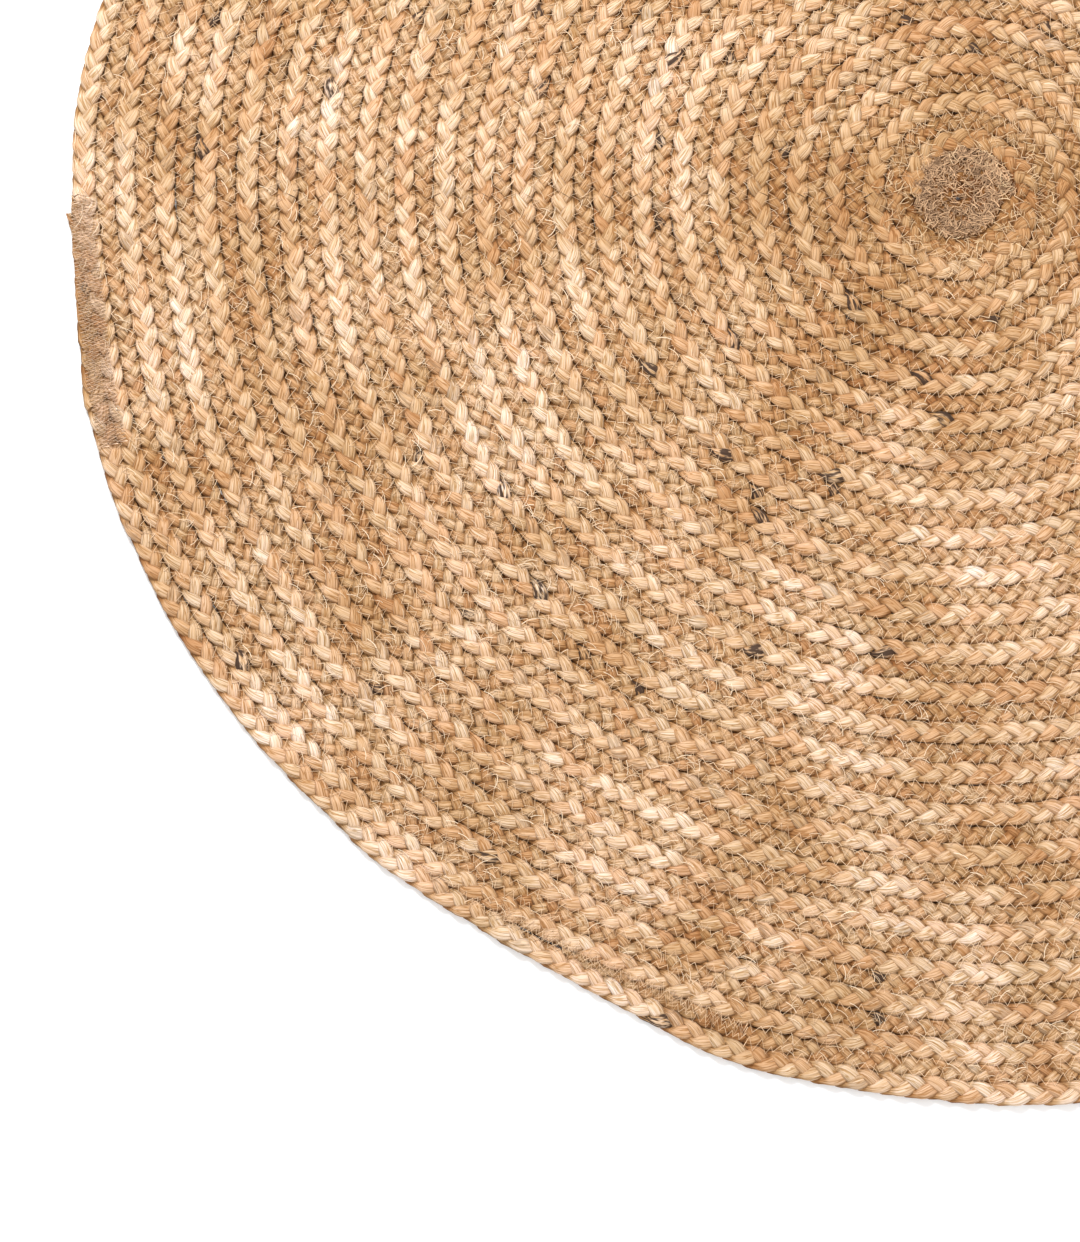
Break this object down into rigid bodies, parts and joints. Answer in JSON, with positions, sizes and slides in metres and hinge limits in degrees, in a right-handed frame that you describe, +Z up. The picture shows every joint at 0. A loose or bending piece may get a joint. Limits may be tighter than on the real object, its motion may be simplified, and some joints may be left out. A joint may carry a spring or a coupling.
{
  "type": "round braided area rug",
  "caption": "Flat round area rug of braided natural jute, wound in a spiral from a sewn centre, with seam stitching between the rows.",
  "frame": {"origin": "middle of the spiral winding, on the underside that rests on the floor", "axes": "+Z up out of the upper side; the winding runs outwards clockwise seen from above"},
  "size_m": [1.5007, 1.5187, 0.01],
  "materials": {
    "thick_braid": "plaited natural jute, smooth long strands, sandy tan with cream and rust strands",
    "fine_braid": "finer plaited natural jute, fuzzier and a little darker",
    "sewn_center": "plait pressed flat and darkened by dense stitching",
    "jute_thread": "pale twisted jute sewing thread"
  },
  "bodies": {
    "root": {"bobbin_thread_fine_edge": "jute_thread", "bobbin_thread_thick_edge": "jute_thread", "center_coil": "sewn_center", "center_stitching": "jute_thread", "fine_braid_tail": "fine_braid", "fine_braid_turn_01": "fine_braid", "fine_braid_turn_02": "fine_braid", "fine_braid_turn_03": "fine_braid", "fine_braid_turn_04": "fine_braid", "fine_braid_turn_05": "fine_braid", "fine_braid_turn_06": "fine_braid", "fine_braid_turn_07": "fine_braid", "fine_braid_turn_08": "fine_braid", "fine_braid_turn_09": "fine_braid", "fine_braid_turn_10": "fine_braid", "fine_braid_turn_11": "fine_braid", "fine_braid_turn_12": "fine_braid", "fine_braid_turn_13": "fine_braid", "fine_braid_turn_14": "fine_braid", "fine_braid_turn_15": "fine_braid", "fine_braid_turn_16": "fine_braid", "fine_braid_turn_17": "fine_braid", "fine_braid_turn_18": "fine_braid", "fine_braid_turn_19": "fine_braid", "fine_braid_turn_20": "fine_braid", "fine_braid_turn_21": "fine_braid", "fine_braid_turn_22": "fine_braid", "fine_tail_stitching": "jute_thread", "needle_thread_fine_edge": "jute_thread", "needle_thread_thick_edge": "jute_thread", "thick_braid_tail": "thick_braid", "thick_braid_turn_01": "thick_braid", "thick_braid_turn_02": "thick_braid", "thick_braid_turn_03": "thick_braid", "thick_braid_turn_04": "thick_braid", "thick_braid_turn_05": "thick_braid", "thick_braid_turn_06": "thick_braid", "thick_braid_turn_07": "thick_braid", "thick_braid_turn_08": "thick_braid", "thick_braid_turn_09": "thick_braid", "thick_braid_turn_10": "thick_braid", "thick_braid_turn_11": "thick_braid", "thick_braid_turn_12": "thick_braid", "thick_braid_turn_13": "thick_braid", "thick_braid_turn_14": "thick_braid", "thick_braid_turn_15": "thick_braid", "thick_braid_turn_16": "thick_braid", "thick_braid_turn_17": "thick_braid", "thick_braid_turn_18": "thick_braid", "thick_braid_turn_19": "thick_braid", "thick_braid_turn_20": "thick_braid", "thick_braid_turn_21": "thick_braid", "thick_braid_turn_22": "thick_braid", "thick_tail_stitching": "jute_thread"}
  },
  "joints": []
}
